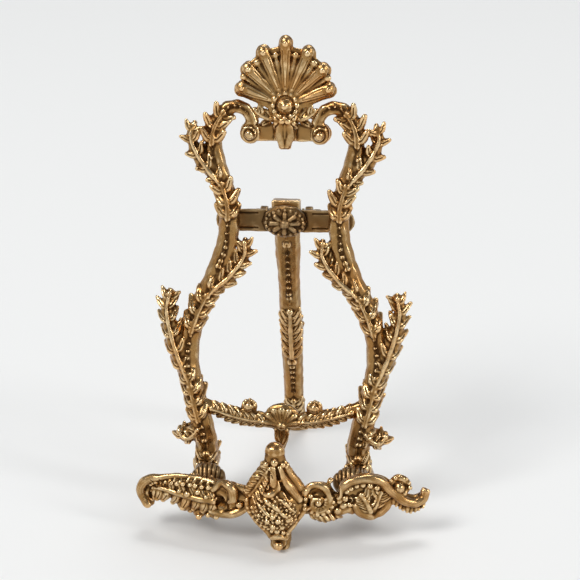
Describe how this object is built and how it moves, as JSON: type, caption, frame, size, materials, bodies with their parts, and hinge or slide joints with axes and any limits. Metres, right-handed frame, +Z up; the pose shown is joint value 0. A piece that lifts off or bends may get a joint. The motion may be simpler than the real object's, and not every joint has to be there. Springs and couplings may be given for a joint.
{
  "type": "plate display stand",
  "caption": "Free-standing easel for a display plate: cast rococo ledge with a retaining finger, scrolled upright, hinged rear leg.",
  "frame": {"origin": "on the floor, under the flat underside of the front foot", "axes": "+Z up, -Y towards the viewer's side of the ledge, +X to the viewer's right"},
  "size_m": [0.0805, 0.0871, 0.1327],
  "materials": {
    "gilt_casting": "antiqued gilt casting, polished on the high points and dark brown in the recesses",
    "frame_gilt": "darker antiqued gilt, satin",
    "hardware": "turned brass, lightly tarnished"
  },
  "bodies": {
    "frame": {"front_cartouche": "gilt_casting", "left_leaf_wing": "gilt_casting", "right_scroll_wing": "gilt_casting", "ledge_bar": "frame_gilt", "cartouche_screw": "hardware", "left_wing_screw": "hardware", "right_wing_screw": "hardware", "left_cradle_arm": "frame_gilt", "right_cradle_arm": "frame_gilt", "left_arm_screw": "hardware", "right_arm_screw": "hardware", "left_stile": "gilt_casting", "right_stile": "gilt_casting", "lower_tie": "gilt_casting", "crest": "gilt_casting", "left_crest_screw": "hardware", "right_crest_screw": "hardware", "hinge_bracket": "frame_gilt", "left_bracket_screw": "hardware", "right_bracket_screw": "hardware", "hinge_pin": "hardware", "hinge_cap_nut": "hardware", "left_hinge_washer": "hardware", "right_hinge_washer": "hardware"},
    "leg": {"rear_leg": "gilt_casting"}
  },
  "joints": [
    {"name": "leg_hinge", "type": "hinge", "parent": "frame", "child": "leg", "pos_m": [0, 0.03943, 0.08099], "axis": [-1, 0, 0], "range_deg": [0, 34]}
  ]
}
